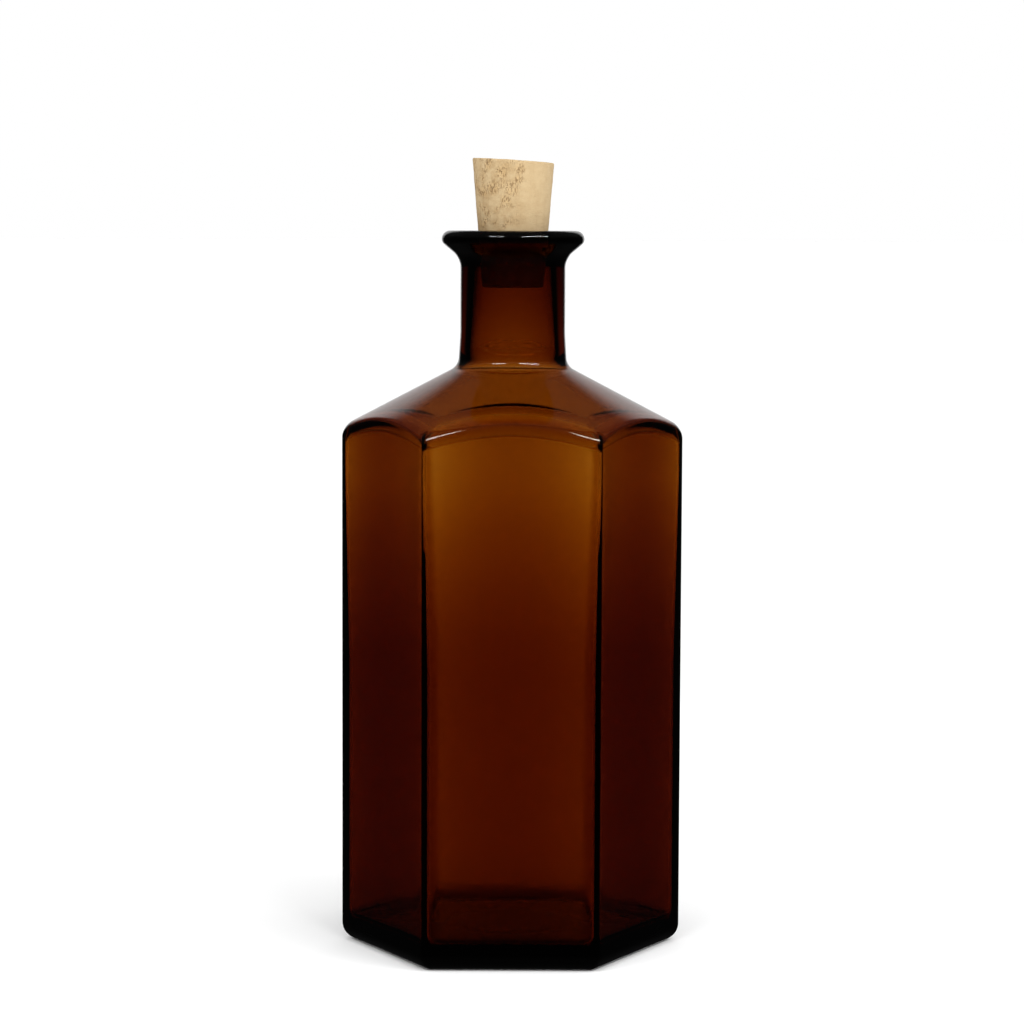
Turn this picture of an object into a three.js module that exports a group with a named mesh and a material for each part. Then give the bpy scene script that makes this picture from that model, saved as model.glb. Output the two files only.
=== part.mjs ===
// A six-sided amber glass medicine bottle with a tapered natural cork stopper.
// Millimetres, +Z up. The origin is the middle of the base, on the surface that the bottle stands on.
// One flat panel faces -Y, and two of the six upright corners point along +X and -X.
import * as THREE from "three";

// Body, outside.
const ACROSS_CORNERS = 85; // over the rounded corners
const CORNER_RADIUS = 2;
const HEEL_RADIUS = 3.2;
const BODY_HEIGHT = 130.3; // up to where the shoulder would meet an upright corner, unrounded
const SHOULDER_SLOPE = THREE.MathUtils.degToRad(27.7); // below level
const SHOULDER_RADIUS = 5.5;

// Base: a flat resting ring round a shallow push-up, under a thick floor.
const RESTING_RING_WIDTH = 4;
const RESTING_RING_RADIUS = 3;
const PUSH_UP_HEIGHT = 2.4;
const PUSH_UP_DIAMETER = 32;
const PUSH_UP_RADIUS = 14;
const FLOOR_THICKNESS = 4.8; // at the wall
const FLOOR_RISE = 1.2; // from the wall to the middle
const INNER_HEEL_RADIUS = 8.5;

// Walls: thick with rounder inside corners low down, and thinner under the shoulder.
const LOW_WALL = 3.4;
const LOW_INNER_CORNER_RADIUS = 4;
const LOW_WALL_TOP = 72; // above the base
const HIGH_WALL = 2.2;
const HIGH_INNER_CORNER_RADIUS = 2;
const HIGH_WALL_DEPTH = 12.3; // below the top of the body
const SHOULDER_WALL = 2;
const INNER_SHOULDER_RADIUS = 3;

// Neck.
const BORE_DIAMETER = 18; // at the mouth
const BORE_EDGE_RADIUS = 1.2;
const BORE_WIDENING = 3.2; // on diameter, from the mouth to the foot of the neck
const INNER_NECK_FILLET = 8;
const NECK_WALL = 4.05; // at the mouth
const NECK_HEIGHT = 33.6; // from the shoulder to the top of the lip
const NECK_FLARE = 0.5; // of the neck's foot, beyond the rest of it
const NECK_FLARE_HEIGHT = 8;
const NECK_FLARE_RADIUS = 40;
const NECK_FILLET = 3.4;

// Lip: a rolled bead on a flared underside.
const LIP_OVERHANG = 4.7;
const LIP_THICKNESS = 2.9; // of its upright edge, unrounded
const LIP_TOP_RADIUS = 2.1;
const LIP_UNDER_RADIUS = 1.5;
const FLARE_SLOPE = THREE.MathUtils.degToRad(40); // of the underside, above level
const FLARE_RADIUS = 4.8;

// Cork: thinner than the mouth at its foot, and thicker than the mouth at its top.
const CORK_LENGTH = 31.7;
const CORK_LEAD = 2.6; // mouth diameter less foot diameter
const CORK_PROUD = 2.5; // top diameter less mouth diameter
const CORK_CLEARANCE = 0.3; // to the glass, all round where it seats
const CORK_EDGE = 0.5;
const CORK_TOP_SKEW = THREE.MathUtils.degToRad(3.5); // its top is cut lower on the +X side

// How finely round things are divided.
const SIDES = 6;
const CORNER_STEPS = 4;
const PANEL_STEPS = 7;
const ARC_STEPS = 4;
const CORK_STEPS = 48;

const SECTOR = (2 * Math.PI) / SIDES;
const HALF_SECTOR = SECTOR / 2;

// The angle from the middle of the nearest panel, for an angle about Z.
function fromPanel(angle) {
  const turned = angle + Math.PI / 2 + HALF_SECTOR;
  return (((turned % SECTOR) + SECTOR) % SECTOR) - HALF_SECTOR;
}

// How far each side of its middle a panel is flat, as an angle, before its rounded corners.
const flatEnd = (distance, radius) => Math.atan(((distance - radius) * Math.tan(HALF_SECTOR)) / distance);

// How far a hexagon with flat sides at `distance` and rounded corners reaches in a direction.
function hexagonReach(angle, distance, radius) {
  const off = Math.abs(fromPanel(angle));
  if (off <= flatEnd(distance, radius)) {
    return distance / Math.cos(off);
  }
  const centre = (distance - radius) / Math.cos(HALF_SECTOR);
  const aside = HALF_SECTOR - off;
  return centre * Math.cos(aside) + Math.sqrt(radius ** 2 - (centre * Math.sin(aside)) ** 2);
}

// A rounded corner falls short of a sharp one by this share of its radius.
const SHORTFALL = 1 / Math.cos(HALF_SECTOR) - 1;
const PANEL_DISTANCE = (ACROSS_CORNERS / 2 + SHORTFALL * CORNER_RADIUS) * Math.cos(HALF_SECTOR);

// The angles round the bottle: evenly over each panel, and closer together over each corner.
function anglesRound() {
  const flat = flatEnd(PANEL_DISTANCE, CORNER_RADIUS);
  const corner = SECTOR - 2 * flat;
  const angles = [];
  for (let side = 0; side < SIDES; side += 1) {
    const panel = side * SECTOR - Math.PI / 2;
    for (let step = 0; step < PANEL_STEPS; step += 1) {
      angles.push(panel - flat + (2 * flat * step) / PANEL_STEPS);
    }
    for (let step = 0; step < CORNER_STEPS; step += 1) {
      angles.push(panel + flat + (corner * step) / CORNER_STEPS);
    }
  }
  return angles;
}

// A corner of a section through the glass: distance from the axis, height, and rounding radius.
const corner = (reach, height, radius = 0) => ({ point: new THREE.Vector2(reach, height), radius });

// The points of a section, with each corner's radius as an arc that is tangent to both its sides.
function roundedSection(corners) {
  return corners.flatMap(({ point, radius }, index) => {
    if (radius === 0) {
      return [point];
    }
    const back = corners[index - 1].point.clone().sub(point).normalize();
    const ahead = corners[index + 1].point.clone().sub(point).normalize();
    const half = Math.acos(THREE.MathUtils.clamp(back.dot(ahead), -1, 1)) / 2;
    const toCentre = back.clone().add(ahead).normalize().multiplyScalar(radius / Math.sin(half));
    const centre = point.clone().add(toCentre);
    const reach = radius / Math.tan(half);
    const start = point.clone().addScaledVector(back, reach).sub(centre).angle();
    const end = point.clone().addScaledVector(ahead, reach).sub(centre).angle();
    const clockwise = back.cross(ahead) > 0;
    const arc = new THREE.EllipseCurve(centre.x, centre.y, radius, radius, start, end, clockwise);
    return arc.getPoints(ARC_STEPS);
  });
}

// A closed body whose section changes as it goes round the axis.
function turnedBody(angles, sectionAt) {
  const geometry = new THREE.LatheGeometry(sectionAt(angles[0]), angles.length);
  const positions = geometry.getAttribute("position");
  let vertex = 0;
  for (const angle of [...angles, angles[0]]) {
    for (const point of sectionAt(angle)) {
      positions.setXYZ(vertex, point.x * Math.cos(angle), point.x * Math.sin(angle), point.y);
      vertex += 1;
    }
  }
  return geometry;
}

// The shoulder is a cone that passes the upright corners at the body's height. Inside, it lies a wall lower.
const shoulderRise = (reach) => (ACROSS_CORNERS / 2 - reach) * Math.tan(SHOULDER_SLOPE);
const outerShoulder = (reach) => BODY_HEIGHT + shoulderRise(reach);
const innerShoulder = (reach) => outerShoulder(reach) - SHOULDER_WALL / Math.cos(SHOULDER_SLOPE);

const boreReach = BORE_DIAMETER / 2;
const boreFootReach = boreReach + BORE_WIDENING / 2;
const neckReach = boreReach + NECK_WALL;
const neckFootReach = neckReach + NECK_FLARE;
const neckFoot = outerShoulder(neckFootReach);
const lipReach = neckReach + LIP_OVERHANG;
const lipTop = neckFoot + NECK_HEIGHT;
const lipUnderside = lipTop - LIP_THICKNESS;
const underLip = lipUnderside - LIP_OVERHANG * Math.tan(FLARE_SLOPE);

// The section at an angle, from the axis under the base, up the outside, down the bore and the inside.
function bottleSection(angle) {
  const outside = hexagonReach(angle, PANEL_DISTANCE, CORNER_RADIUS);
  const ring = outside - HEEL_RADIUS - RESTING_RING_WIDTH;
  const lowInside = hexagonReach(angle, PANEL_DISTANCE - LOW_WALL, LOW_INNER_CORNER_RADIUS);
  const highInside = hexagonReach(angle, PANEL_DISTANCE - HIGH_WALL, HIGH_INNER_CORNER_RADIUS);
  return roundedSection([
    corner(0, PUSH_UP_HEIGHT),
    corner(PUSH_UP_DIAMETER / 2, PUSH_UP_HEIGHT, PUSH_UP_RADIUS),
    corner(ring, 0, RESTING_RING_RADIUS),
    corner(outside, 0, HEEL_RADIUS),
    corner(outside, outerShoulder(outside), SHOULDER_RADIUS),
    corner(neckFootReach, neckFoot, NECK_FILLET),
    corner(neckReach, neckFoot + NECK_FLARE_HEIGHT, NECK_FLARE_RADIUS),
    corner(neckReach, underLip, FLARE_RADIUS),
    corner(lipReach, lipUnderside, LIP_UNDER_RADIUS),
    corner(lipReach, lipTop, LIP_TOP_RADIUS),
    corner(boreReach, lipTop, BORE_EDGE_RADIUS),
    corner(boreFootReach, innerShoulder(boreFootReach), INNER_NECK_FILLET),
    corner(highInside, innerShoulder(highInside), INNER_SHOULDER_RADIUS),
    corner(highInside, BODY_HEIGHT - HIGH_WALL_DEPTH),
    corner(lowInside, LOW_WALL_TOP),
    corner(lowInside, FLOOR_THICKNESS, INNER_HEEL_RADIUS),
    corner(PUSH_UP_DIAMETER / 2, FLOOR_THICKNESS + FLOOR_RISE),
    corner(0, FLOOR_THICKNESS + FLOOR_RISE),
  ]);
}

const corkFootReach = (BORE_DIAMETER - CORK_LEAD) / 2;
const corkTopReach = (BORE_DIAMETER + CORK_PROUD) / 2;
const corkTaper = (corkTopReach - corkFootReach) / CORK_LENGTH;
// The cork goes down until only its clearance is left at the foot of the mouth's rounded edge.
const corkSeat = (boreReach - CORK_CLEARANCE - corkFootReach) / corkTaper;
const corkFoot = lipTop - BORE_EDGE_RADIUS - corkSeat;

// The cork, with its foot at height 0.
function corkGeometry() {
  const edgeTaper = CORK_EDGE * corkTaper;
  const section = [
    new THREE.Vector2(0, 0),
    new THREE.Vector2(corkFootReach - CORK_EDGE, 0),
    new THREE.Vector2(corkFootReach + edgeTaper, CORK_EDGE),
    new THREE.Vector2(corkTopReach - edgeTaper, CORK_LENGTH - CORK_EDGE),
    new THREE.Vector2(corkTopReach - CORK_EDGE, CORK_LENGTH),
    new THREE.Vector2(0, CORK_LENGTH),
  ];
  const geometry = new THREE.LatheGeometry(section, CORK_STEPS).rotateX(Math.PI / 2);
  const positions = geometry.getAttribute("position");
  for (let vertex = 0; vertex < positions.count; vertex += 1) {
    if (positions.getZ(vertex) > CORK_LENGTH / 2) {
      const lowered = positions.getZ(vertex) - positions.getX(vertex) * Math.tan(CORK_TOP_SKEW);
      positions.setZ(vertex, lowered);
    }
  }
  return geometry;
}

const amberGlass = new THREE.MeshStandardMaterial({ color: 0x6b3208, roughness: 0.05, metalness: 0 });
const naturalCork = new THREE.MeshStandardMaterial({ color: 0xdcc092, roughness: 0.85, metalness: 0 });

const bottle = new THREE.Mesh(turnedBody(anglesRound(), bottleSection), amberGlass);
bottle.name = "bottle";

const cork = new THREE.Mesh(corkGeometry(), naturalCork);
cork.name = "cork";
cork.position.z = corkFoot;

const medicineBottle = new THREE.Group();
medicineBottle.add(bottle, cork);

export default medicineBottle;
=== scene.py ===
import math

import bmesh
import bpy
from bpy.props import FloatProperty, FloatVectorProperty, IntProperty, PointerProperty
from mathutils import Euler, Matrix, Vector


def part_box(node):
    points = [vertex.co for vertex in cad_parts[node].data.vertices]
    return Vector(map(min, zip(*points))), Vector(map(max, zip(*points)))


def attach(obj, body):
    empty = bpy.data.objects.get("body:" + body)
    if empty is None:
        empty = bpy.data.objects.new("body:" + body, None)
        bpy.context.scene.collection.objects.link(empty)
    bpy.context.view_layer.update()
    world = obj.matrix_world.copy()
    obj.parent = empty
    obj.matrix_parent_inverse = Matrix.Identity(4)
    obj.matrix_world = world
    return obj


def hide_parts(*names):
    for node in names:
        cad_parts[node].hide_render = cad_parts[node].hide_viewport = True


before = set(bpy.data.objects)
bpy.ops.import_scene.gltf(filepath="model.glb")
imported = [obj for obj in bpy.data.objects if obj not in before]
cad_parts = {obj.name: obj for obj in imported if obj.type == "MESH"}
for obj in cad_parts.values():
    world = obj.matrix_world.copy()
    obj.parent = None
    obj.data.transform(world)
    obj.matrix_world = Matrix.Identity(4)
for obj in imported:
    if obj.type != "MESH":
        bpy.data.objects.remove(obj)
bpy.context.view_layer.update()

bl_info = {
    "name": "Six-Sided Medicine Bottle",
    "version": (1, 0, 0),
    "blender": (4, 5, 0),
    "location": "3D View > Sidebar > Bottle",
    "description": "Models an amber glass medicine bottle and its cork round their packed frame",
    "category": "Object",
}

MM = 0.001
TINY = 0.00001
SIDES = 6
SECTOR = math.tau / SIDES
QUARTER = math.tau / 4

# The least weight of a vertex that wholly belongs to a kept loop.
WHOLE = 0.999

# How finely the shoulder is made: rings over its cone, faces round the cone that they lie on,
# bands from a panel's middle to its corner that are rounded alike, and faces over the rounding.
SHOULDER_RINGS = 5
CONE_STEPS = 1440
EDGE_BANDS = 24
EDGE_STEPS = 12

# Rings of faces on the level middles of the push-up and the floor.
MIDDLE_RINGS = 6

# Where the cork is cracked, in millimetres: sideways, height and size.
CORK_FLAWS = ((-3.0, 193.4, 2.2), (1.6, 194.2, 2.0), (-0.5, 189.4, 2.6), (-1.8, 186.6, 1.8),
              (-5.0, 189.6, 2.4), (-7.6, 188.6, 2.0), (1.3, 191.6, 1.6))
CRACK_TURNS = (42, -48)

# How far the floor reaches, in metres, so that its edge doesn't show.
FLOOR_REACH = 60

# How steep rays are, from 1 straight up to -1 straight down, where the ceiling and the table set
# in and where they are at their full brightness.
CEILING_RISE = (0.05, 0.6)
TABLE_RISE = (-0.3, -0.7)

# The soft boxes: degrees to the right of the front, degrees up, distance, width and height in metres.
SOFT_BOXES = {"box_left": (-31, 41, 1.1, 0.50, 0.10), "box_right": (40, 41, 1.1, 0.75, 0.10)}

GLASS_LOW, GLASS_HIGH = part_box("bottle")
CORK_LOW, CORK_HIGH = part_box("cork")


def length(label, description, default):
    """A length that the sidebar shows in the scene's units."""
    return FloatProperty(name=label, description=description, default=default, min=0.0,
                         subtype="DISTANCE", unit="LENGTH", precision=5)


def angle(label, description, degrees):
    """An angle that the sidebar shows in degrees."""
    return FloatProperty(name=label, description=description, default=math.radians(degrees),
                         subtype="ANGLE", unit="ROTATION")


def colour(label, description, default):
    """A linear colour."""
    return FloatVectorProperty(name=label, description=description, default=default,
                               size=3, min=0.0, max=1.0, subtype="COLOR")


def number(label, description, default):
    """A plain number."""
    return FloatProperty(name=label, description=description, default=default, min=0.0)


def count(label, description, default, least):
    """A whole number."""
    return IntProperty(name=label, description=description, default=default, min=least)


class BottleSizes(bpy.types.PropertyGroup):
    """Sizes of the glass. Heights are above the surface that the bottle stands on."""
    panel_distance: length("Panel Distance", "From the axis to each flat panel", GLASS_HIGH.y)
    corner_radius: length("Corner Radius", "Rounding of the upright corners", 1.35 * MM)
    heel_radius: length("Heel Radius", "Rounding between the base and the panels", 4.4 * MM)
    body_height: length("Body Height", "To where the shoulder meets an upright corner", 130.3 * MM)
    shoulder_slope: angle("Shoulder Slope", "Of the shoulder, below level", 27.7)
    shoulder_radius: length("Shoulder Radius", "Rounding of the shoulder edge at the corners", 5.5 * MM)
    arch_radius: length("Arch Radius", "Rounding of the shoulder edge over a panel's middle", 1.1 * MM)
    ring_width: length("Resting Ring", "Width of the flat ring that the bottle stands on", 4.0 * MM)
    push_up: length("Push-Up Height", "Of the hollow under the base", 2.4 * MM)
    push_up_reach: length("Push-Up Radius", "Of the level middle of the push-up", 16.0 * MM)
    push_up_radius: length("Push-Up Rounding", "Rounding of the push-up's level middle", 14.0 * MM)
    ring_radius: length("Ring Rounding", "Rounding between the ring and the push-up", 3.0 * MM)
    floor: length("Floor Thickness", "Of the glass floor at the wall", 4.8 * MM)
    floor_rise: length("Floor Rise", "Of the floor from the wall to the middle", 1.2 * MM)
    inner_heel: length("Inner Heel Radius", "Rounding between the floor and the inside walls",
                       3.8 * MM)
    low_wall: length("Low Wall", "Wall thickness in the lower half, beside the corners", 3.1 * MM)
    low_bow: length("Low Bow", "How much thicker the lower wall is in a panel's middle", 0.35 * MM)
    low_corner: length("Low Inner Corner", "Rounding of the inside corners low down", 2.9 * MM)
    low_wall_top: length("Low Wall Top", "Height where the wall starts to thin", 72.0 * MM)
    high_wall: length("High Wall", "Wall thickness under the shoulder, beside the corners", 1.6 * MM)
    high_bow: length("High Bow", "How much thicker the upper wall is in a panel's middle", 0.65 * MM)
    high_corner: length("High Inner Corner", "Rounding of the inside corners high up", 1.8 * MM)
    high_wall_depth: length("High Wall Depth", "Below the body's top, where the wall is thinnest",
                            12.3 * MM)
    shoulder_wall: length("Shoulder Wall", "Glass thickness of the shoulder", 1.7 * MM)
    inner_shoulder: length("Inner Shoulder Radius", "Rounding of the shoulder inside", 5.0 * MM)
    bore: length("Bore", "Diameter of the mouth", 18.0 * MM)
    bore_edge: length("Mouth Edge Radius", "Rounding of the mouth's edge", 1.2 * MM)
    bore_widening: length("Bore Widening", "On diameter, from the mouth to the neck's foot", 3.9 * MM)
    inner_fillet: length("Inner Neck Fillet", "Rounding at the neck's foot inside", 8.0 * MM)
    neck_wall: length("Neck Wall", "Glass thickness at the mouth", 4.05 * MM)
    neck_flare: length("Neck Flare", "How far the neck's foot spreads", 0.5 * MM)
    neck_flare_height: length("Neck Flare Height", "Height over which the neck spreads", 8.0 * MM)
    neck_flare_radius: length("Neck Flare Radius", "Rounding where the neck starts to spread",
                              40.0 * MM)
    neck_fillet: length("Neck Fillet", "Rounding between the shoulder and the neck", 3.4 * MM)
    lip_overhang: length("Lip Overhang", "Of the lip beyond the neck", 4.7 * MM)
    lip_thickness: length("Lip Thickness", "Of the lip's upright edge, unrounded", 2.9 * MM)
    lip_top_radius: length("Lip Top Radius", "Rounding of the lip's upper edge", 2.1 * MM)
    lip_under_radius: length("Lip Under Radius", "Rounding of the lip's lower edge", 1.5 * MM)
    flare_slope: angle("Flare Slope", "Of the lip's underside, above level", 40.0)
    flare_radius: length("Flare Radius", "Rounding between the neck and the lip's underside", 4.8 * MM)
    corner_steps: count("Corner Steps", "Faces round each upright corner", 8, 2)
    panel_steps: count("Panel Steps", "Faces across each panel", 24, 2)


class CorkSizes(bpy.types.PropertyGroup):
    """Sizes of the cork."""
    foot_reach: length("Foot Radius", "Of the cork's lower end", 7.7 * MM)
    top_reach: length("Top Radius", "Of the cork's upper end", 10.25 * MM)
    edge: length("Edge", "Wear of the cork's two rims", 0.45 * MM)
    wear: length("Top Wear", "How far its top lies below its highest outline", 0.6 * MM)
    skew: angle("Top Skew", "How far out of square its top is cut", 3.5)
    round_steps: count("Round Steps", "Faces round the cork", 160, 8)
    side_steps: count("Side Steps", "Faces up the cork's side", 90, 1)
    end_rings: count("End Rings", "Rings of faces on each end", 22, 2)


class BottleColours(bpy.types.PropertyGroup):
    """Colours and clearness of the materials."""
    glass_density: number("Glass Density", "Light taken up per metre of glass", 1900.0)
    glass: colour("Glass", "What the glass lets through, at its density", (0.772, 0.5726, 0.08))
    cork: colour("Cork", "Pale body of the cork", (0.485, 0.36, 0.202))
    # Besides the cork's own darker growth, this colour carries painted shade on the cork's left side,
    # through the mottle.
    cork_dark: colour("Cork Bands", "Darker growth of the cork", (0.385, 0.262, 0.13))
    cork_warm: colour("Cork Flaws", "Warmer cork round the cracks", (0.52, 0.33, 0.14))
    cork_pore: colour("Cork Pores", "Pores and cracks", (0.20, 0.105, 0.04))
    floor: colour("Floor", "Plain pale floor", (0.92, 0.92, 0.92))


class StageSettings(bpy.types.PropertyGroup):
    """The light and the camera."""
    white: number("White", "Brightness of the surroundings, seen past the glass and through it", 1.0)
    backdrop: angle("Backdrop", "Off its middle, how far the glass shows it in full", 12)
    backdrop_end: angle("Backdrop End", "Off its middle, where the glass shows it no more", 40)
    backdrop_turn: angle("Backdrop Turn", "How far to the right its middle stands", 5)
    fill: number("Fill", "Light of the surroundings on matt surfaces", 0.9)
    fill_front: number("Front Fill", "How much more of it comes from the front than the side", 0.8)
    key_turn: angle("Key Turn", "How far to the right the front fill comes from", 15)
    key_rise: number("Key Rise", "How much it comes from above too, as a share of the front", 0.6)
    dark: number("Dark Room", "Brightness of the dark room that the glass mirrors", 0.008)
    ceiling: number("Ceiling", "Brightness of the ceiling that the glass mirrors", 0.045)
    table: number("Table", "Brightness of the table that the glass mirrors", 0.01)
    screen: number("Screen", "Brightness of the screen behind that the glass mirrors", 0.7)
    screen_rise: angle("Screen Rise", "Of the screen's middle above the horizon", 12)
    screen_spread: angle("Screen Spread", "From the screen's middle to where it is dark", 32)
    left: number("Left Soft Box", "Power in watts", 2.2)
    right: number("Right Soft Box", "Power in watts", 4.0)
    camera_distance: length("Camera Distance", "From the bottle's axis, level", 0.8)
    camera_pitch: angle("Camera Pitch", "Below level", 5.02)
    camera_roll: angle("Camera Roll", "Counterclockwise", 0.23)
    lens: number("Lens", "Focal length in millimetres on a 36 mm wide frame", 112.6)


# Selecting and shaping.

def deselect_objects():
    """Leaves edit mode and deselects every object."""
    if bpy.context.object and bpy.context.object.mode != "OBJECT":
        bpy.ops.object.mode_set(mode="OBJECT")
    bpy.ops.object.select_all(action="DESELECT")


def only(piece):
    """Makes a piece the one selected and active object."""
    deselect_objects()
    piece.select_set(True)
    bpy.context.view_layer.objects.active = piece


def edit(piece, kind="FACE"):
    """Opens a piece in edit mode with nothing selected."""
    only(piece)
    bpy.ops.object.mode_set(mode="EDIT")
    bpy.ops.mesh.select_mode(type=kind)
    bpy.ops.mesh.select_all(action="DESELECT")


def object_mode():
    bpy.ops.object.mode_set(mode="OBJECT")


def mesh_of(piece):
    return bmesh.from_edit_mesh(piece.data)


def chosen(piece):
    """The selected vertices of the piece in edit mode."""
    return [vertex for vertex in mesh_of(piece).verts if vertex.select]


def remember(piece, name):
    """Keeps the selected loop as a named vertex group."""
    bpy.ops.object.vertex_group_assign_new()
    piece.vertex_groups.active.name = name


def recall(piece, *names):
    """Selects the vertices that wholly belong to loops that were kept by name."""
    bpy.ops.mesh.select_mode(type="VERT")
    bpy.ops.mesh.select_all(action="DESELECT")
    weights = mesh_of(piece).verts.layers.deform.verify()
    kept = [piece.vertex_groups[name].index for name in names]
    for vertex in mesh_of(piece).verts:
        vertex.select_set(any(vertex[weights].get(index, 0) > WHOLE for index in kept))
    mesh_of(piece).select_flush_mode()


def apply_modifiers(piece):
    only(piece)
    for modifier in list(piece.modifiers):
        bpy.ops.object.modifier_apply(modifier=modifier.name)


def mean_reach(piece):
    """The mean distance of the selection from the axis."""
    return sum(vertex.co.xy.length for vertex in chosen(piece)) / len(chosen(piece))


def grow(piece, height, reach, name, roundness=0.0):
    """Extrudes the selected face to a height, rounds it, and scales it to a mean distance from the axis."""
    bpy.ops.mesh.extrude_region_move(TRANSFORM_OT_translate={"value": (0, 0, 0)})
    bpy.ops.object.vertex_group_remove_from(use_all_groups=True)
    rise = height - sum(vertex.co.z for vertex in chosen(piece)) / len(chosen(piece))
    bpy.ops.transform.translate(value=(0, 0, rise))
    if roundness:
        bpy.ops.transform.tosphere(value=roundness)
    scale = reach / mean_reach(piece)
    bpy.ops.transform.resize(value=(scale, scale, 1), center_override=(0, 0, height))
    remember(piece, name)


def round_loop(piece, name, radius, turn, steps):
    """Rounds a kept loop to a radius, where the section turns by an angle there."""
    recall(piece, name)
    bpy.ops.mesh.select_mode(type="EDGE")
    bpy.ops.mesh.bevel(offset_type="OFFSET", offset=radius * math.tan(turn / 2), segments=steps,
                       profile=0.5, affect="EDGES", clamp_overlap=False)
    bpy.ops.mesh.select_mode(type="VERT")


def round_shoulder_edge(piece, sizes, turn):
    """Rounds the shoulder's edge, fully at the corners and less over the panels' middles."""
    recall(piece, "shoulder edge")
    bpy.ops.mesh.select_mode(type="EDGE")
    edges = [edge for edge in mesh_of(piece).edges if edge.select]
    places = [(from_panel_middle(edge.verts[0]) + from_panel_middle(edge.verts[1])) / 2
              for edge in edges]
    indices = [edge.index for edge in edges]
    least = sizes.arch_radius / sizes.shoulder_radius
    for band in range(EDGE_BANDS):
        bpy.ops.mesh.select_all(action="DESELECT")
        mesh_of(piece).edges.ensure_lookup_table()
        for index, place in zip(indices, places):
            if int(place / max(places) * (EDGE_BANDS - TINY)) == band:
                mesh_of(piece).edges[index].select_set(True)
        if any(edge.select for edge in mesh_of(piece).edges):
            share = ((band + 0.5) / EDGE_BANDS) ** 3
            bpy.ops.transform.edge_bevelweight(value=least + (1 - least) * share)
    object_mode()
    rounding = piece.modifiers.new("Round Shoulder", "BEVEL")
    rounding.limit_method = "WEIGHT"
    rounding.width = sizes.shoulder_radius * math.tan(turn / 2)
    rounding.segments = EDGE_STEPS
    rounding.profile = 0.5
    rounding.use_clamp_overlap = False
    apply_modifiers(piece)
    edit(piece, "VERT")


def pick_level_face(piece, height):
    """Selects the one large level face at a height."""
    bpy.ops.mesh.select_mode(type="FACE")
    bpy.ops.mesh.select_all(action="DESELECT")
    level = [face for face in mesh_of(piece).faces
             if len(face.verts) > 4 and abs(face.calc_center_median().z - height) < TINY]
    for face in level:
        face.select_set(True)
    mesh_of(piece).select_flush_mode()
    if len(level) != 1:
        raise RuntimeError(f"{len(level)} level faces at {height}, not one")


def close_middle(piece):
    """Fills in from the selected round face to the axis, with level rings and a point in the middle."""
    height = chosen(piece)[0].co.z
    reach = chosen(piece)[0].co.xy.length
    for ring in range(1, MIDDLE_RINGS):
        grow(piece, height, reach * (1 - ring / MIDDLE_RINGS), f"middle {height:.5f} {ring}")
    bpy.ops.mesh.merge(type="CENTER")


def from_panel_middle(vertex):
    """How far a vertex lies sideways from the middle of its panel."""
    turn = math.atan2(vertex.co.y, vertex.co.x) % SECTOR - SECTOR / 2
    return abs(vertex.co.xy.length * math.sin(turn))


def bow_panels(piece, depth, half_width, steps):
    """Draws the panels' middles in towards the axis, by less and less towards their ends."""
    for step in range(steps // 2):
        place = half_width * step / (steps / 2)
        bpy.ops.mesh.select_all(action="DESELECT")
        for vertex in mesh_of(piece).verts:
            vertex.select_set(abs(from_panel_middle(vertex) - place) < half_width / steps / 2)
        mesh_of(piece).select_flush_mode()
        scale = 1 - depth * (1 - (place / half_width) ** 2) / mean_reach(piece)
        bpy.ops.transform.resize(value=(scale, scale, 1), center_override=(0, 0, 0))


def six_sided_face(name, height, panel_distance, corner_radius, corner_steps, panel_steps, bow=0.0):
    """A level hexagonal face with rounded corners, two of them on the X axis. It is left selected."""
    deselect_objects()
    bpy.ops.mesh.primitive_circle_add(vertices=SIDES, radius=panel_distance / math.cos(SECTOR / 2),
                                      fill_type="NGON", location=(0, 0, height),
                                      rotation=(0, 0, SECTOR / 2))
    piece = bpy.context.object
    piece.name = piece.data.name = name
    bpy.ops.object.transform_apply(location=True, rotation=True, scale=True)
    bpy.ops.object.mode_set(mode="EDIT")
    bpy.ops.mesh.select_all(action="SELECT")
    bpy.ops.mesh.bevel(offset_type="OFFSET", offset=corner_radius * math.tan(SECTOR / 2),
                       segments=corner_steps, profile=0.5, affect="VERTICES")
    bpy.ops.mesh.select_mode(type="EDGE")
    bpy.ops.mesh.select_all(action="DESELECT")
    longest = max(edge.calc_length() for edge in mesh_of(piece).edges)
    for edge in mesh_of(piece).edges:
        edge.select_set(edge.calc_length() > 0.9 * longest)
    bpy.ops.mesh.subdivide(number_cuts=panel_steps - 1)
    bpy.ops.mesh.select_mode(type="VERT")
    if bow:
        bow_panels(piece, bow, longest / 2, panel_steps)
    bpy.ops.mesh.select_all(action="SELECT")
    return piece


def lay_on_cone(piece, loops, reach, height, slope):
    """Moves kept loops straight up or down onto a cone, which has a height at a distance from the axis."""
    object_mode()
    group = piece.vertex_groups.new(name="cone")
    edit(piece, "VERT")
    recall(piece, *loops)
    bpy.ops.object.vertex_group_set_active(group="cone")
    bpy.ops.object.vertex_group_assign()
    deselect_objects()
    skirt = 1.5 * reach
    drop = skirt * math.tan(slope)
    apex = height + reach * math.tan(slope)
    bpy.ops.mesh.primitive_cone_add(vertices=CONE_STEPS, radius1=skirt, radius2=0, depth=drop,
                                    end_fill_type="NOTHING", location=(0, 0, apex - drop / 2))
    cone = bpy.context.object
    only(piece)
    wrap = piece.modifiers.new("Lay On Cone", "SHRINKWRAP")
    wrap.target = cone
    wrap.wrap_method = "PROJECT"
    wrap.use_project_z = True
    wrap.use_negative_direction = True
    wrap.use_positive_direction = True
    wrap.vertex_group = group.name
    apply_modifiers(piece)
    only(cone)
    bpy.ops.object.delete()


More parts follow.
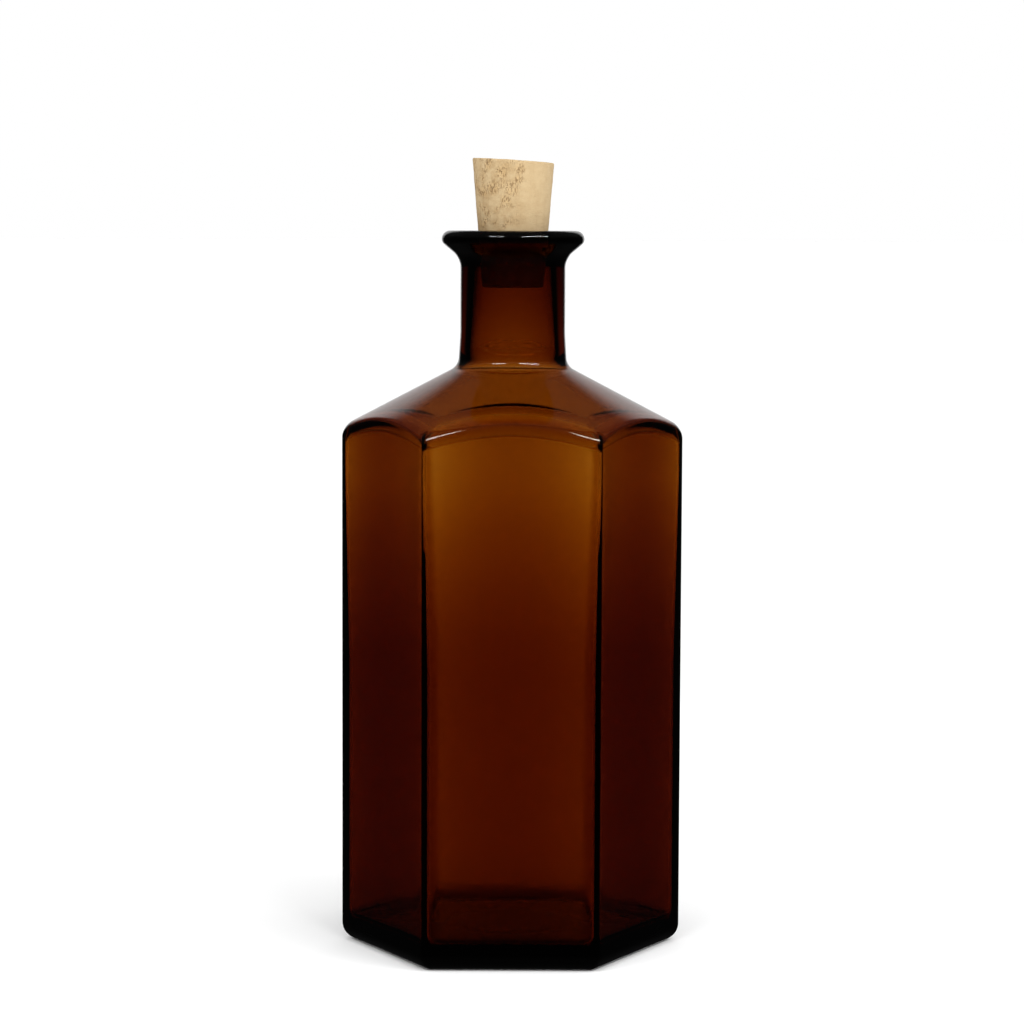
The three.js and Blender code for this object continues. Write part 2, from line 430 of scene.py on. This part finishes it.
def neck_sizes(sizes):
    """Distances from the axis, heights and the bore's slope, from the shoulder up."""
    slope = sizes.shoulder_slope
    neck = sizes.bore / 2 + sizes.neck_wall
    neck_foot = neck + sizes.neck_flare
    lip_under = GLASS_HIGH.z - sizes.lip_thickness
    inner_base = sizes.body_height - sizes.shoulder_wall / math.cos(slope)
    bore_foot_reach = (sizes.bore + sizes.bore_widening) / 2
    bore_foot = inner_base + (GLASS_HIGH.x - bore_foot_reach) * math.tan(slope)
    mouth_foot = GLASS_HIGH.z - 2 * sizes.bore_edge
    bore_top = mouth_foot - sizes.bore_edge
    widening = sizes.bore_widening / 2 / (GLASS_HIGH.z - bore_foot)
    return {
        "neck": neck,
        "neck foot": neck_foot,
        "foot height": sizes.body_height + (GLASS_HIGH.x - neck_foot) * math.tan(slope),
        "lip": neck + sizes.lip_overhang,
        "lip under": lip_under,
        "under lip": lip_under - sizes.lip_overhang * math.tan(sizes.flare_slope),
        "inner base": inner_base,
        "bore foot": bore_foot,
        "bore foot reach": bore_foot_reach,
        "mouth foot": mouth_foot,
        "mouth foot reach": sizes.bore / 2 + widening * (GLASS_HIGH.z - mouth_foot),
        "bore top": bore_top,
        "bore top reach": sizes.bore / 2 + widening * (GLASS_HIGH.z - bore_top),
        "pour": math.atan(widening),
    }


def grow_shoulder(piece, base_height, neck_reach, corner_reach, slope):
    """Closes a six-sided wall in to a round neck over a cone, from the selected face."""
    mean = mean_reach(piece)
    loops = ["shoulder edge"]
    for ring in range(1, SHOULDER_RINGS + 1):
        share = ring / SHOULDER_RINGS
        loops.append("neck foot" if ring == SHOULDER_RINGS else f"shoulder {ring}")
        reach = mean + (neck_reach - mean) * share
        grow(piece, base_height, reach, loops[-1], roundness=share)
    lay_on_cone(piece, loops, corner_reach, base_height, slope)
    edit(piece, "VERT")
    recall(piece, "neck foot")
    bpy.ops.mesh.select_mode(type="FACE")


def model_outside(sizes):
    """The outer skin of the glass, from the middle of the base up to the edge of the mouth."""
    slope = sizes.shoulder_slope
    at = neck_sizes(sizes)
    skin = six_sided_face("outside", 0, sizes.panel_distance, sizes.corner_radius,
                          sizes.corner_steps, sizes.panel_steps)
    remember(skin, "heel")
    grow(skin, sizes.body_height, mean_reach(skin), "shoulder edge")
    grow_shoulder(skin, sizes.body_height, at["neck foot"], GLASS_HIGH.x, slope)
    grow(skin, at["foot height"] + sizes.neck_flare_height, at["neck"], "neck flare")
    grow(skin, at["under lip"], at["neck"], "under lip")
    grow(skin, at["lip under"], at["lip"], "lip underside")
    grow(skin, GLASS_HIGH.z, at["lip"], "lip top")
    grow(skin, GLASS_HIGH.z, sizes.bore / 2, "mouth")
    grow(skin, at["mouth foot"], at["mouth foot reach"], "mouth foot")
    bpy.ops.mesh.delete(type="ONLY_FACE")

    pick_level_face(skin, 0)
    ring = sizes.heel_radius + sizes.ring_width
    grow(skin, 0, mean_reach(skin) - ring, "resting ring")
    grow(skin, sizes.push_up, sizes.push_up_reach, "push-up", roundness=1.0)
    close_middle(skin)

    flare = math.atan(sizes.neck_flare / sizes.neck_flare_height)
    ramp = math.atan(sizes.push_up / (sizes.panel_distance - ring - sizes.push_up_reach))
    round_loop(skin, "push-up", sizes.push_up_radius, ramp, 6)
    round_loop(skin, "resting ring", sizes.ring_radius, ramp, 4)
    round_loop(skin, "heel", sizes.heel_radius, QUARTER, 10)
    round_shoulder_edge(skin, sizes, QUARTER - slope)
    round_loop(skin, "neck foot", sizes.neck_fillet, QUARTER - slope - flare, 10)
    round_loop(skin, "neck flare", sizes.neck_flare_radius, flare, 4)
    round_loop(skin, "under lip", sizes.flare_radius, QUARTER - sizes.flare_slope, 10)
    round_loop(skin, "lip underside", sizes.lip_under_radius, QUARTER - sizes.flare_slope, 8)
    round_loop(skin, "lip top", sizes.lip_top_radius, QUARTER, 12)
    round_loop(skin, "mouth", sizes.bore_edge, QUARTER, 8)
    object_mode()
    return skin


def model_inside(sizes):
    """The inner skin of the glass, from the middle of the floor up to just under the mouth."""
    slope = sizes.shoulder_slope
    at = neck_sizes(sizes)
    thinnest = sizes.body_height - sizes.high_wall_depth
    high = six_sided_face("inside", thinnest,
                          sizes.panel_distance - sizes.high_wall, sizes.high_corner,
                          sizes.corner_steps, sizes.panel_steps, sizes.high_bow)
    remember(high, "high wall")
    grow(high, at["inner base"], mean_reach(high), "shoulder edge")
    grow_shoulder(high, at["inner base"], at["bore foot reach"], GLASS_HIGH.x, slope)
    grow(high, at["bore top"], at["bore top reach"], "bore top")
    bpy.ops.mesh.delete(type="ONLY_FACE")
    pick_level_face(high, thinnest)
    bpy.ops.mesh.delete(type="ONLY_FACE")
    object_mode()

    low = six_sided_face("inside low", sizes.low_wall_top, sizes.panel_distance - sizes.low_wall,
                         sizes.low_corner, sizes.corner_steps, sizes.panel_steps, sizes.low_bow)
    remember(low, "low wall")
    grow(low, sizes.floor, mean_reach(low), "inner heel")
    grow(low, sizes.floor + sizes.floor_rise, sizes.push_up_reach, "floor", roundness=1.0)
    close_middle(low)
    pick_level_face(low, sizes.low_wall_top)
    bpy.ops.mesh.delete(type="ONLY_FACE")
    object_mode()

    deselect_objects()
    low.select_set(True)
    high.select_set(True)
    bpy.context.view_layer.objects.active = high
    bpy.ops.object.join()
    edit(high, "VERT")
    bridge(high, "low wall", "high wall")
    round_loop(high, "inner heel", sizes.inner_heel, QUARTER, 14)
    round_loop(high, "shoulder edge", sizes.inner_shoulder, QUARTER - slope, 12)
    round_loop(high, "neck foot", sizes.inner_fillet, QUARTER - slope + at["pour"], 10)
    object_mode()
    return high


def bridge(piece, first, second):
    """Joins two kept loops with a band of faces."""
    recall(piece, first, second)
    bpy.ops.mesh.select_mode(type="EDGE")
    bpy.ops.mesh.bridge_edge_loops(type="SINGLE", use_merge=False)
    bpy.ops.mesh.select_mode(type="VERT")


# Materials.

def add(tree, kind, inputs=(), **settings):
    """Adds a node, sets it, and fills its sockets with values or with other nodes' outputs."""
    node = tree.nodes.new(kind)
    for name, value in settings.items():
        setattr(node, name, value)
    for name, value in dict(inputs).items():
        if isinstance(value, bpy.types.NodeSocket):
            tree.links.new(value, node.inputs[name])
        else:
            node.inputs[name].default_value = value
    return node


def new_material(name, inputs):
    """A material with one Principled shader, the shader's plain values, and its tree."""
    material = bpy.data.materials.new(name)
    material.use_nodes = True
    tree = material.node_tree
    tree.nodes.clear()
    shader = add(tree, "ShaderNodeBsdfPrincipled", inputs)
    output = add(tree, "ShaderNodeOutputMaterial", {"Surface": shader.outputs["BSDF"]})
    return material, tree, shader, output


def opaque(value):
    """A linear colour as the four numbers that a socket takes."""
    return (*value, 1.0)


def amber_glass(colours):
    """Clear glass whose body takes up blue, then green, then red light, by its thickness."""
    material, tree, shader, output = new_material("amber_glass", {
        "Base Color": (1, 1, 1, 1), "Roughness": 0.0, "IOR": 1.52, "Transmission Weight": 1.0})
    body = add(tree, "ShaderNodeVolumeAbsorption",
               {"Color": opaque(colours.glass), "Density": colours.glass_density})
    tree.links.new(body.outputs["Volume"], output.inputs["Volume"])
    return material


def spread(tree, value, low, high):
    """Stretches the part of a value between low and high over nought to one."""
    return add(tree, "ShaderNodeMapRange", {"Value": value, "From Min": low, "From Max": high},
               interpolation_type="SMOOTHSTEP").outputs["Result"]


def multiply(tree, first, second):
    return add(tree, "ShaderNodeMath", {0: first, 1: second}, operation="MULTIPLY").outputs[0]


def multiply_add(tree, first, second, third):
    return add(tree, "ShaderNodeMath", {0: first, 1: second, 2: third},
               operation="MULTIPLY_ADD").outputs[0]


def greater(tree, first, second):
    return add(tree, "ShaderNodeMath", {0: first, 1: second}, operation="MAXIMUM").outputs[0]


def facing(tree, towards, direction):
    """The cosine of the angle between two directions, times the second one's length."""
    return add(tree, "ShaderNodeVectorMath", {0: towards, 1: direction},
               operation="DOT_PRODUCT").outputs["Value"]


def either(tree, share, first, second):
    """Mixes two numbers."""
    return add(tree, "ShaderNodeMix", {0: share, 2: first, 3: second}).outputs[0]


def blend(tree, share, first, second):
    """Mixes two colours."""
    node = add(tree, "ShaderNodeMix", data_type="RGBA")
    for socket, value in ((0, share), (6, first), (7, second)):
        if isinstance(value, bpy.types.NodeSocket):
            tree.links.new(value, node.inputs[socket])
        else:
            node.inputs[socket].default_value = value
    return node.outputs[2]


def noise(tree, place, size, detail=3.0, roughness=0.5):
    """Noise whose features have a size."""
    return add(tree, "ShaderNodeTexNoise", {"Vector": place, "Scale": 1 / size, "Detail": detail,
                                            "Roughness": roughness}).outputs["Fac"]


def soft_spot(tree, place, across, height, size):
    """One near a line through the cork from front to back, falling to nought at a distance."""
    flat = add(tree, "ShaderNodeMapping", {"Vector": place, "Location": (-across, 0, -height),
                                           "Scale": (1, 0, 1)}).outputs[0]
    away = add(tree, "ShaderNodeVectorMath", {0: flat}, operation="LENGTH").outputs["Value"]
    return spread(tree, away, size, 0.3 * size)


def natural_cork(colours):
    """Pale cork with a mottled side whose dark mottle grows towards the left, partly as painted shade, with
    clusters of slanted cracks, fine pores and faint level lines.
    """
    material, tree, shader, _ = new_material("natural_cork", {
        "Roughness": 0.85, "Specular IOR Level": 0.25})
    place = add(tree, "ShaderNodeTexCoord").outputs["Object"]
    across = add(tree, "ShaderNodeSeparateXYZ", {0: place}).outputs["X"]

    def turned(scale, turn):
        return add(tree, "ShaderNodeMapping", {"Vector": place, "Scale": scale,
                                               "Rotation": (0, turn, 0)}).outputs[0]

    # The mottle darkens towards the cork's left side. This is partly the cork's own mottle and partly
    # painted shade for the side turned from the key light. The same left-side mask also gathers the cork's
    # real flaws.
    left = spread(tree, across, 5 * MM, -5 * MM)
    mottle_and_left_shade = spread(tree, noise(tree, place, 2.6 * MM, roughness=0.65), 0.35, 0.7)
    mottle_and_left_shade = multiply(tree, mottle_and_left_shade, add(tree, "ShaderNodeMapRange", {
        "Value": left, "To Min": 0.35, "To Max": 1.0}).outputs["Result"])
    # This mix lays the cork's own mottle together with painted shade on its left side.
    tone = blend(tree, mottle_and_left_shade, opaque(colours.cork), opaque(colours.cork_dark))
    lines = spread(tree, noise(tree, turned((1, 1, 9), 0), 2.4 * MM), 0.5, 0.75)
    tone = blend(tree, multiply(tree, lines, 0.3), tone, opaque(colours.cork_dark))
    streaks = spread(tree, noise(tree, turned((1, 1, 0.12), 0), 1.6 * MM), 0.45, 0.7)
    tone = blend(tree, multiply(tree, streaks, 0.25), tone, opaque(colours.cork_dark))

    flaws = multiply(tree, spread(tree, noise(tree, place, 3.0 * MM, detail=1.0), 0.45, 0.65), left)
    for spot in CORK_FLAWS:
        flaws = greater(tree, flaws, soft_spot(tree, place, *(value * MM for value in spot)))
    cracks = 0.0
    for turn in CRACK_TURNS:
        strokes = noise(tree, turned((3.2, 1.6, 1), math.radians(turn)), 1.0 * MM, detail=2.5,
                        roughness=0.6)
        cracks = greater(tree, cracks, spread(tree, strokes, 0.56, 0.65))
    cells = add(tree, "ShaderNodeTexVoronoi", {"Vector": place, "Scale": 1 / (0.9 * MM)})
    pores = spread(tree, cells.outputs["Distance"], 0.22, 0.1)
    broken = multiply(tree, greater(tree, cracks, pores), flaws)
    tone = blend(tree, multiply(tree, flaws, 0.3), tone, opaque(colours.cork_warm))
    tone = blend(tree, multiply(tree, broken, 0.62), tone, opaque(colours.cork_pore))
    tree.links.new(tone, shader.inputs["Base Color"])

    fine = noise(tree, place, 0.3 * MM, detail=4.0)
    relief = multiply_add(tree, broken, -1.8, fine)
    bump = add(tree, "ShaderNodeBump", {"Height": relief, "Strength": 0.8, "Distance": 0.16 * MM})
    tree.links.new(bump.outputs["Normal"], shader.inputs["Normal"])
    return material


def matt(name, value):
    """A plain matt colour."""
    return new_material(name, {"Base Color": opaque(value), "Roughness": 0.9,
                               "Specular IOR Level": 0.1})[0]


def dress(piece, material):
    piece.data.materials.clear()
    piece.data.materials.append(material)


class BOTTLE_OT_glass(bpy.types.Operator):
    """Models the moulded glass bottle and gives it clear amber glass"""
    bl_idname = "medicine_bottle.glass"
    bl_label = "Glass Bottle"
    bl_options = {"REGISTER", "UNDO"}

    def execute(self, context):
        sizes = context.scene.bottle_sizes
        outside = model_outside(sizes)
        inside = model_inside(sizes)
        deselect_objects()
        inside.select_set(True)
        outside.select_set(True)
        context.view_layer.objects.active = outside
        bpy.ops.object.join()
        outside.name = outside.data.name = "amber_bottle"
        edit(outside, "VERT")
        bridge(outside, "mouth foot", "bore top")
        bpy.ops.mesh.select_all(action="SELECT")
        bpy.ops.mesh.normals_make_consistent(inside=False)
        object_mode()
        bpy.ops.object.shade_smooth()
        for group in list(outside.vertex_groups):
            outside.vertex_groups.remove(group)
        dress(outside, amber_glass(context.scene.bottle_colours))
        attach(outside, "bottle")
        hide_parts("bottle")
        return {"FINISHED"}


class BOTTLE_OT_cork(bpy.types.Operator):
    """Models the tapered cork, with its worn rims and pitted side, and gives it natural cork"""
    bl_idname = "medicine_bottle.cork"
    bl_label = "Cork"
    bl_options = {"REGISTER", "UNDO"}

    def execute(self, context):
        sizes = context.scene.cork_sizes
        top = CORK_HIGH.z - sizes.top_reach * math.tan(sizes.skew) - sizes.wear
        cork = self.cone(sizes, top)
        self.skew_top(cork, top, sizes.skew)
        self.wear_rims(cork, sizes.edge)
        self.divide_side(cork, sizes.side_steps)
        self.fill_end(cork, True, sizes.end_rings)
        self.fill_end(cork, False, sizes.end_rings)
        bpy.ops.mesh.select_all(action="SELECT")
        bpy.ops.mesh.normals_make_consistent(inside=False)
        object_mode()
        bpy.ops.object.shade_smooth()
        self.pit(cork, "Growth", 2.5 * MM, 0.10 * MM, 0.95)
        self.pit(cork, "Grain", 0.6 * MM, 0.06 * MM, 1.0)
        apply_modifiers(cork)
        dress(cork, natural_cork(context.scene.bottle_colours))
        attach(cork, "cork")
        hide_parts("cork")
        return {"FINISHED"}

    def cone(self, sizes, top):
        """The plain tapered cork."""
        deselect_objects()
        bpy.ops.mesh.primitive_cone_add(
            vertices=sizes.round_steps, radius1=sizes.foot_reach, radius2=sizes.top_reach,
            depth=top - CORK_LOW.z, location=(0, 0, (top + CORK_LOW.z) / 2))
        cork = bpy.context.object
        cork.name = cork.data.name = "cork_stopper"
        bpy.ops.object.transform_apply(location=True, rotation=True, scale=True)
        return cork

    def skew_top(self, cork, top, skew):
        """Cuts the top out of square."""
        edit(cork, "VERT")
        for vertex in mesh_of(cork).verts:
            vertex.select_set(vertex.co.z > top - TINY)
        mesh_of(cork).select_flush_mode()
        bpy.ops.transform.rotate(value=-skew, orient_axis="Y", center_override=(0, 0, top))

    def wear_rims(self, cork, edge):
        """Rounds both rims."""
        bpy.ops.mesh.select_mode(type="FACE")
        bpy.ops.mesh.select_all(action="DESELECT")
        for face in mesh_of(cork).faces:
            face.select_set(len(face.verts) > 4)
        mesh_of(cork).select_flush_mode()
        bpy.ops.mesh.select_mode(type="EDGE")
        bpy.ops.mesh.bevel(offset_type="OFFSET", offset=edge, segments=5, profile=0.5,
                           affect="EDGES", clamp_overlap=False)

    def divide_side(self, cork, steps):
        """Cuts the long upright edges into steps."""
        bpy.ops.mesh.select_all(action="DESELECT")
        longest = max(edge.calc_length() for edge in mesh_of(cork).edges)
        for edge in mesh_of(cork).edges:
            edge.select_set(edge.calc_length() > 0.8 * longest)
        bpy.ops.mesh.subdivide(number_cuts=steps - 1)

    def fill_end(self, cork, upper, rings):
        """Fills the upper or the lower end with even rings of faces and a point in the middle."""
        bpy.ops.mesh.select_mode(type="FACE")
        bpy.ops.mesh.select_all(action="DESELECT")
        ends = [face for face in mesh_of(cork).faces
                if len(face.verts) > 4 and (face.normal.z > 0) == upper]
        if len(ends) != 1:
            raise RuntimeError(f"{len(ends)} ends of the cork, not one")
        middle = ends[0].calc_center_median()
        ends[0].select_set(True)
        mesh_of(cork).select_flush_mode()
        for ring in range(1, rings):
            share = 1 - 1 / (rings - ring + 1)
            bpy.ops.mesh.extrude_region_move(TRANSFORM_OT_translate={"value": (0, 0, 0)})
            bpy.ops.transform.resize(value=(share, share, share), center_override=middle)
        bpy.ops.mesh.merge(type="CENTER")

    def pit(self, cork, name, size, depth, brightness):
        """Sinks the cork's surface by clouds of a size and a depth, and never raises it."""
        texture = bpy.data.textures.new(name, "CLOUDS")
        texture.noise_scale = size
        texture.noise_depth = 2
        texture.intensity = brightness
        texture.contrast = 1.5
        press = cork.modifiers.new(name, "DISPLACE")
        press.texture = texture
        press.texture_coords = "LOCAL"
        press.direction = "NORMAL"
        press.strength = depth
        press.mid_level = 1.0


class BOTTLE_OT_stage(bpy.types.Operator):
    """Adds the pale floor, the soft studio light and the camera"""
    bl_idname = "medicine_bottle.stage"
    bl_label = "Stage"
    bl_options = {"REGISTER", "UNDO"}

    def execute(self, context):
        self.floor(context)
        self.world(context)
        self.lights()
        self.camera(context)
        context.scene.view_settings.view_transform = "Standard"
        return {"FINISHED"}

    def floor(self, context):
        deselect_objects()
        bpy.ops.mesh.primitive_circle_add(vertices=96, radius=FLOOR_REACH, fill_type="NGON")
        floor = bpy.context.object
        floor.name = floor.data.name = "floor"
        dress(floor, matt("pale_floor", context.scene.bottle_colours.floor))
        floor.visible_glossy = False

    def world(self, context):
        """White, but refracted rays see it only behind, and mirrored rays see a dark room."""
        stage = context.scene.bottle_stage
        world = bpy.data.worlds.new("studio")
        context.scene.world = world
        world.use_nodes = True
        tree = world.node_tree
        tree.nodes.clear()
        towards = add(tree, "ShaderNodeTexCoord").outputs["Generated"]
        ray = add(tree, "ShaderNodeLightPath").outputs
        strength = either(tree, ray["Is Diffuse Ray"], stage.white, self.fill(tree, towards, stage))
        strength = either(tree, ray["Is Glossy Ray"], strength, self.room(tree, towards, stage))
        strength = either(tree, ray["Is Transmission Ray"], strength,
                          self.backdrop(tree, towards, stage))
        light = add(tree, "ShaderNodeBackground", {"Color": (1, 1, 1, 1), "Strength": strength})
        add(tree, "ShaderNodeOutputWorld", {"Surface": light.outputs["Background"]})

    def fill(self, tree, towards, stage):
        """What lights matt surfaces, with more of it from the front and from above."""
        front = facing(tree, towards, (math.sin(stage.key_turn), -math.cos(stage.key_turn),
                                       stage.key_rise))
        return multiply_add(tree, front, stage.fill * stage.fill_front, stage.fill)

    def room(self, tree, towards, stage):
        """What the glass mirrors: a dim ceiling and table, and a soft white screen behind."""
        height = add(tree, "ShaderNodeSeparateXYZ", {0: towards}).outputs["Z"]
        dim = multiply_add(tree, spread(tree, height, *CEILING_RISE), stage.ceiling, stage.dark)
        dim = multiply_add(tree, spread(tree, height, *TABLE_RISE), stage.table, dim)
        rise = stage.screen_rise
        behind = facing(tree, towards, (0, math.cos(rise), math.sin(rise)))
        screen = spread(tree, behind, math.cos(stage.screen_spread), math.cos(stage.screen_spread / 2))
        return multiply_add(tree, screen, stage.screen, dim)

    def backdrop(self, tree, towards, stage):
        """What the glass refracts: white behind, and dark well away from there."""
        turn = stage.backdrop_turn
        behind = facing(tree, towards, (math.sin(turn), math.cos(turn), 0))
        seen = spread(tree, behind, math.cos(stage.backdrop_end), math.cos(stage.backdrop))
        return multiply(tree, seen, stage.white)

    def lights(self):
        stage = bpy.context.scene.bottle_stage
        for (name, place), power in zip(SOFT_BOXES.items(), (stage.left, stage.right)):
            self.box(name, *place, power)

    def box(self, name, azimuth, elevation, distance, width, height, power):
        """A soft box, seen from the bottle at an azimuth from the front and an elevation."""
        deselect_objects()
        turn = math.radians(azimuth)
        rise = math.radians(elevation)
        target = Vector((0, 0, GLASS_HIGH.z / 2))
        away = Vector((math.sin(turn) * math.cos(rise), -math.cos(turn) * math.cos(rise),
                       math.sin(rise)))
        bpy.ops.object.light_add(type="AREA", location=target + away * distance)
        light = bpy.context.object
        light.name = light.data.name = name
        light.rotation_euler = (-away).to_track_quat("-Z", "Y").to_euler()
        light.data.shape = "RECTANGLE"
        light.data.size = width
        light.data.size_y = height
        light.data.energy = power
        light.visible_camera = False

    def camera(self, context):
        stage = context.scene.bottle_stage
        deselect_objects()
        bpy.ops.object.camera_add(location=(0, -stage.camera_distance, GLASS_HIGH.z))
        camera = bpy.context.object
        camera.name = camera.data.name = "front"
        pitch = Euler((QUARTER - stage.camera_pitch, 0, 0)).to_matrix()
        camera.rotation_euler = (pitch @ Euler((0, 0, stage.camera_roll)).to_matrix()).to_euler()
        camera.data.lens = stage.lens
        camera.data.sensor_width = 36.0
        camera.data.clip_start = 0.01
        context.scene.camera = camera


class BOTTLE_PT_sidebar(bpy.types.Panel):
    """Lists the steps, the sizes and the colours"""
    bl_idname = "BOTTLE_PT_sidebar"
    bl_label = "Medicine Bottle"
    bl_space_type = "VIEW_3D"
    bl_region_type = "UI"
    bl_category = "Bottle"

    def draw(self, context):
        for step in STEPS:
            self.layout.operator(step.bl_idname, text=step.bl_label)
        for owner in HELD:
            settings = getattr(context.scene, owner)
            box = self.layout.box()
            for name in settings.__annotations__:
                box.prop(settings, name)


STEPS = (BOTTLE_OT_glass, BOTTLE_OT_cork, BOTTLE_OT_stage)
HELD = {
    "bottle_sizes": BottleSizes,
    "cork_sizes": CorkSizes,
    "bottle_colours": BottleColours,
    "bottle_stage": StageSettings,
}


def register():
    for group in HELD.values():
        bpy.utils.register_class(group)
    for owner, group in HELD.items():
        setattr(bpy.types.Scene, owner, PointerProperty(type=group))
    for step in (*STEPS, BOTTLE_PT_sidebar):
        bpy.utils.register_class(step)


def unregister():
    for step in reversed((*STEPS, BOTTLE_PT_sidebar)):
        bpy.utils.unregister_class(step)
    for owner, group in HELD.items():
        delattr(bpy.types.Scene, owner)
        bpy.utils.unregister_class(group)


def main():
    """Builds the bottle, the cork and the stage."""
    register()
    bpy.ops.medicine_bottle.glass()
    bpy.ops.medicine_bottle.cork()
    bpy.ops.medicine_bottle.stage()


if __name__ == "__main__":
    main()
